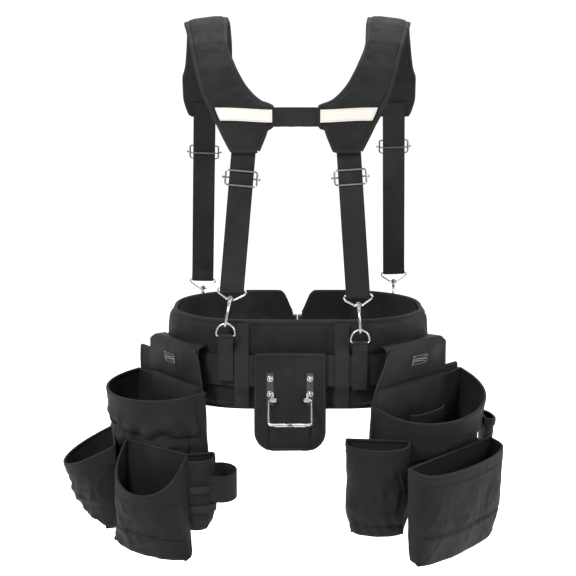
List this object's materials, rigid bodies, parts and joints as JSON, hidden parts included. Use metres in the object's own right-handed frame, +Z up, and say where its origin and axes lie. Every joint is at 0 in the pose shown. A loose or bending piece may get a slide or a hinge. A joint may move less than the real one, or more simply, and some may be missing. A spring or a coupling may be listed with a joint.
{
  "type": "tool belt",
  "caption": "Padded tool belt with shoulder harness, two canvas pouches with nail bags, a steel hammer loop and D-rings with swivel snap hooks.",
  "frame": {"origin": "middle of the lumbar pad's flat inner face, which rests on the wearer's back", "axes": "+X along the lumbar pad to the wearer's right-hand side of the belt, +Y from the lumbar pad through the wearer to the front buckle, +Z up"},
  "size_m": [0.7181, 0.4817, 0.835],
  "materials": {
    "black_canvas": "heavy plain-weave nylon canvas, bound edges, top-stitched",
    "black_webbing": "woven polyester webbing with a fine rib",
    "mesh_lining": "knitted spacer mesh",
    "grey_foam": "closed-cell foam sheet, hidden",
    "plated_steel": "nickel-plated steel wire and sheet",
    "reflective_tape": "grey-white retroreflective tape, sewn",
    "black_acetal": "moulded acetal"
  },
  "bodies": {
    "harness": {"belt_foam_core": "grey_foam", "belt_inner_lining": "mesh_lining", "belt_loop_left": "black_webbing", "belt_loop_right": "black_webbing", "belt_outer_cover": "black_canvas", "buckle_plug": "black_acetal", "buckle_socket": "black_acetal", "reflective_strip_left": "reflective_tape", "reflective_strip_right": "reflective_tape", "ring_tab_back_left": "black_webbing", "ring_tab_back_right": "black_webbing", "ring_tab_front_left": "black_webbing", "ring_tab_front_right": "black_webbing", "shoulder_pad_left": "black_canvas", "shoulder_pad_right": "black_canvas", "strap_back_left": "black_webbing", "strap_back_right": "black_webbing", "strap_front_left": "black_webbing", "strap_front_right": "black_webbing", "waist_webbing": "black_webbing", "yoke_centre_band": "black_webbing"},
    "d_ring_back_left": {"d_ring_back_left": "plated_steel"},
    "hook_bail_back_left": {"hook_bail_back_left": "plated_steel"},
    "hook_back_left": {"hook_back_left": "plated_steel"},
    "hook_gate_back_left": {"hook_gate_back_left": "plated_steel"},
    "adjuster_back_left": {"adjuster_back_left": "plated_steel"},
    "d_ring_back_right": {"d_ring_back_right": "plated_steel"},
    "hook_bail_back_right": {"hook_bail_back_right": "plated_steel"},
    "hook_back_right": {"hook_back_right": "plated_steel"},
    "hook_gate_back_right": {"hook_gate_back_right": "plated_steel"},
    "adjuster_back_right": {"adjuster_back_right": "plated_steel"},
    "d_ring_front_left": {"d_ring_front_left": "plated_steel"},
    "hook_bail_front_left": {"hook_bail_front_left": "plated_steel"},
    "hook_front_left": {"hook_front_left": "plated_steel"},
    "hook_gate_front_left": {"hook_gate_front_left": "plated_steel"},
    "adjuster_front_left": {"adjuster_front_left": "plated_steel"},
    "d_ring_front_right": {"d_ring_front_right": "plated_steel"},
    "hook_bail_front_right": {"hook_bail_front_right": "plated_steel"},
    "hook_front_right": {"hook_front_right": "plated_steel"},
    "hook_gate_front_right": {"hook_gate_front_right": "plated_steel"},
    "adjuster_front_right": {"adjuster_front_right": "plated_steel"},
    "hammer_holder": {"hammer_holder_panel": "black_canvas", "hammer_holder_sleeve": "black_canvas", "rivet_clip_left": "plated_steel", "rivet_clip_right": "plated_steel"},
    "hammer_loop": {"hammer_loop": "plated_steel"},
    "left_pouch": {"left_pouch_back_panel": "black_canvas", "left_pouch_centre_bag": "black_canvas", "left_pouch_main_pocket": "black_canvas", "left_pouch_nail_bag": "black_canvas", "left_pouch_side_pocket": "black_canvas", "left_pouch_tool_loop": "black_canvas"},
    "right_pouch": {"right_pouch_back_panel": "black_canvas", "right_pouch_inner_pocket": "black_canvas", "right_pouch_main_pocket": "black_canvas", "right_pouch_narrow_pocket": "black_canvas", "right_pouch_side_loop": "black_canvas", "right_pouch_wide_bag": "black_canvas"}
  },
  "joints": [
    {"name": "d_ring_back_left_hinge", "type": "hinge", "parent": "harness", "child": "d_ring_back_left", "pos_m": [-0.115, -0.0309, 0.04989], "axis": [1, 0, 0], "range_deg": [-5, 12]},
    {"name": "hook_bail_back_left_hinge", "type": "hinge", "parent": "harness", "child": "hook_bail_back_left", "pos_m": [-0.1045, -0.0309, 0.1255], "axis": [1, 0, 0], "range_deg": [-5, 2.2]},
    {"name": "hook_back_left_swivel", "type": "hinge", "parent": "hook_bail_back_left", "child": "hook_back_left", "pos_m": [-0.1075, -0.0309, 0.10978], "axis": [-0.1875, 0, -0.9823], "range_deg": [-25, 25]},
    {"name": "hook_gate_back_left_hinge", "type": "hinge", "parent": "hook_back_left", "child": "hook_gate_back_left", "pos_m": [-0.11013, -0.0275, 0.09603], "axis": [-0.9823, 0, 0.1875], "range_deg": [0, 20], "stiffness_Nm_per_rad": 0.02, "springref_deg": -5.73},
    {"name": "adjuster_back_left_slide", "type": "slide", "parent": "harness", "child": "adjuster_back_left", "axis": [-0.0869, -0.0773, -0.9932], "range_m": [-0.018, 0.034]},
    {"name": "d_ring_back_right_hinge", "type": "hinge", "parent": "harness", "child": "d_ring_back_right", "pos_m": [0.097, -0.0309, 0.03954], "axis": [1, 0, 0], "range_deg": [-5, 12]},
    {"name": "hook_bail_back_right_hinge", "type": "hinge", "parent": "harness", "child": "hook_bail_back_right", "pos_m": [0.093, -0.0309, 0.116], "axis": [1, 0, 0], "range_deg": [-5, 2.2]},
    {"name": "hook_back_right_swivel", "type": "hinge", "parent": "hook_bail_back_right", "child": "hook_back_right", "pos_m": [0.09414, -0.0309, 0.10004], "axis": [0.0714, 0, -0.9974], "range_deg": [-25, 25]},
    {"name": "hook_gate_back_right_hinge", "type": "hinge", "parent": "hook_back_right", "child": "hook_gate_back_right", "pos_m": [0.09514, -0.0275, 0.08608], "axis": [-0.9974, 0, -0.0714], "range_deg": [0, 20], "stiffness_Nm_per_rad": 0.02, "springref_deg": -5.73},
    {"name": "adjuster_back_right_slide", "type": "slide", "parent": "harness", "child": "adjuster_back_right", "axis": [0.0682, -0.0756, -0.9948], "range_m": [-0.018, 0.034]},
    {"name": "d_ring_front_left_hinge", "type": "hinge", "parent": "harness", "child": "d_ring_front_left", "pos_m": [-0.169, 0.3009, 0.0114], "axis": [-1, 0, 0], "range_deg": [-5, 12]},
    {"name": "hook_bail_front_left_hinge", "type": "hinge", "parent": "harness", "child": "hook_bail_front_left", "pos_m": [-0.169, 0.3009, 0.088], "axis": [-1, 0, 0], "range_deg": [-5, 2.2]},
    {"name": "hook_front_left_swivel", "type": "hinge", "parent": "hook_bail_front_left", "child": "hook_front_left", "pos_m": [-0.169, 0.3009, 0.072], "axis": [0, 0, -1], "range_deg": [-25, 25]},
    {"name": "hook_gate_front_left_hinge", "type": "hinge", "parent": "hook_front_left", "child": "hook_gate_front_left", "pos_m": [-0.169, 0.2975, 0.058], "axis": [-1, 0, 0], "range_deg": [0, 20], "stiffness_Nm_per_rad": 0.02, "springref_deg": -5.73},
    {"name": "adjuster_front_left_slide", "type": "slide", "parent": "harness", "child": "adjuster_front_left", "axis": [-0.0309, 0.2173, -0.9756], "range_m": [-0.018, 0.034]},
    {"name": "d_ring_front_right_hinge", "type": "hinge", "parent": "harness", "child": "d_ring_front_right", "pos_m": [0.172, 0.3009, 0.0234], "axis": [-1, 0, 0], "range_deg": [-5, 12]},
    {"name": "hook_bail_front_right_hinge", "type": "hinge", "parent": "harness", "child": "hook_bail_front_right", "pos_m": [0.172, 0.3009, 0.1], "axis": [-1, 0, 0], "range_deg": [-5, 2.2]},
    {"name": "hook_front_right_swivel", "type": "hinge", "parent": "hook_bail_front_right", "child": "hook_front_right", "pos_m": [0.172, 0.3009, 0.084], "axis": [0, 0, -1], "range_deg": [-25, 25]},
    {"name": "hook_gate_front_right_hinge", "type": "hinge", "parent": "hook_front_right", "child": "hook_gate_front_right", "pos_m": [0.172, 0.2975, 0.07], "axis": [-1, 0, 0], "range_deg": [0, 20], "stiffness_Nm_per_rad": 0.02, "springref_deg": -5.73},
    {"name": "adjuster_front_right_slide", "type": "slide", "parent": "harness", "child": "adjuster_front_right", "axis": [0.0256, 0.2255, -0.9739], "range_m": [-0.018, 0.034]},
    {"name": "hammer_holder_slide", "type": "slide", "parent": "harness", "child": "hammer_holder", "axis": [1, 0, 0], "range_m": [-0.008, 0.013]},
    {"name": "hammer_loop_hinge", "type": "hinge", "parent": "hammer_holder", "child": "hammer_loop", "pos_m": [-0.0135, -0.0354, -0.052], "axis": [-1, 0, 0], "range_deg": [-38, 85]},
    {"name": "left_pouch_slide_round_belt", "type": "hinge", "parent": "harness", "child": "left_pouch", "pos_m": [-0.0755, 0.12, 0], "axis": [0, 0, 1], "range_deg": [-4, 4]},
    {"name": "right_pouch_slide_round_belt", "type": "hinge", "parent": "harness", "child": "right_pouch", "pos_m": [0.0755, 0.12, 0], "axis": [0, 0, 1], "range_deg": [-4, 4]}
  ],
  "couplings": [
    {"joint": "hook_bail_back_left_hinge", "follows": "d_ring_back_left_hinge", "ratio": -0.3679},
    {"joint": "hook_bail_back_right_hinge", "follows": "d_ring_back_right_hinge", "ratio": -0.3679},
    {"joint": "hook_bail_front_left_hinge", "follows": "d_ring_front_left_hinge", "ratio": -0.3679},
    {"joint": "hook_bail_front_right_hinge", "follows": "d_ring_front_right_hinge", "ratio": -0.3679}
  ]
}
